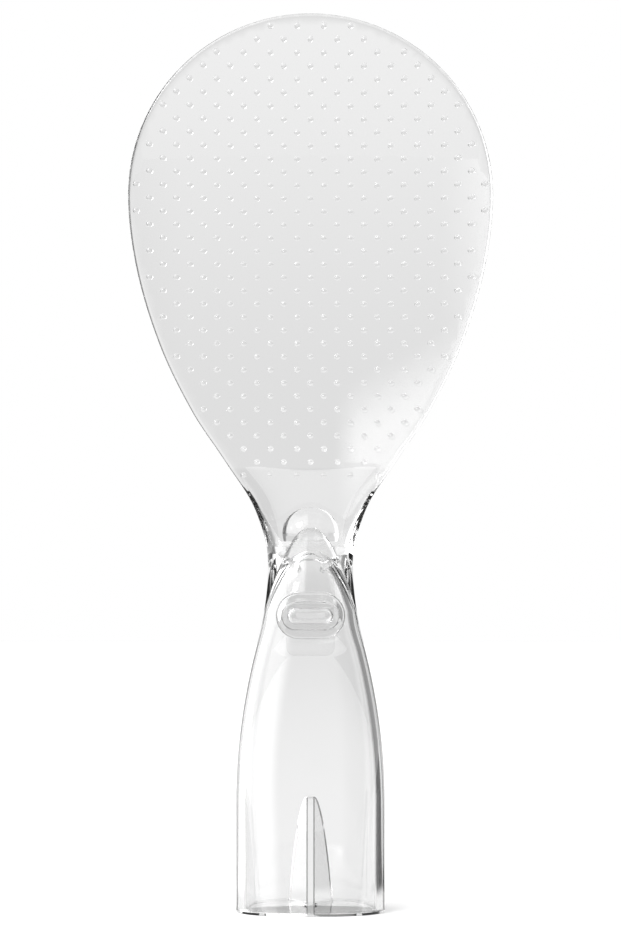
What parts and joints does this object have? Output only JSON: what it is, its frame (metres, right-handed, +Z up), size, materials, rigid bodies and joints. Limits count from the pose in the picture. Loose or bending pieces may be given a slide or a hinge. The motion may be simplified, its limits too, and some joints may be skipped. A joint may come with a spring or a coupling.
{
  "type": "rice paddle",
  "caption": "Clear moulded rice paddle with a dished, nubbed scoop and a hollow flared handle on which it stands upright.",
  "frame": {"origin": "centre of the foot's underside, on the surface the paddle stands on", "axes": "+Z up along the paddle's length, +X across its width, -Y the side to which the scoop is hollow"},
  "size_m": [0.0834, 0.0335, 0.205],
  "materials": {
    "clear_blade": "clear colourless styrene-type plastic, polished mould finish",
    "clear_shell": "clear colourless styrene-type plastic, polished mould finish",
    "clear_fitting": "clear colourless styrene-type plastic, polished"
  },
  "bodies": {
    "root": {"blade": "clear_blade", "handle_front_shell": "clear_shell", "handle_back_shell": "clear_shell", "foot_plate": "clear_shell", "locking_stud": "clear_fitting", "tang_pins": "clear_fitting"}
  },
  "joints": []
}
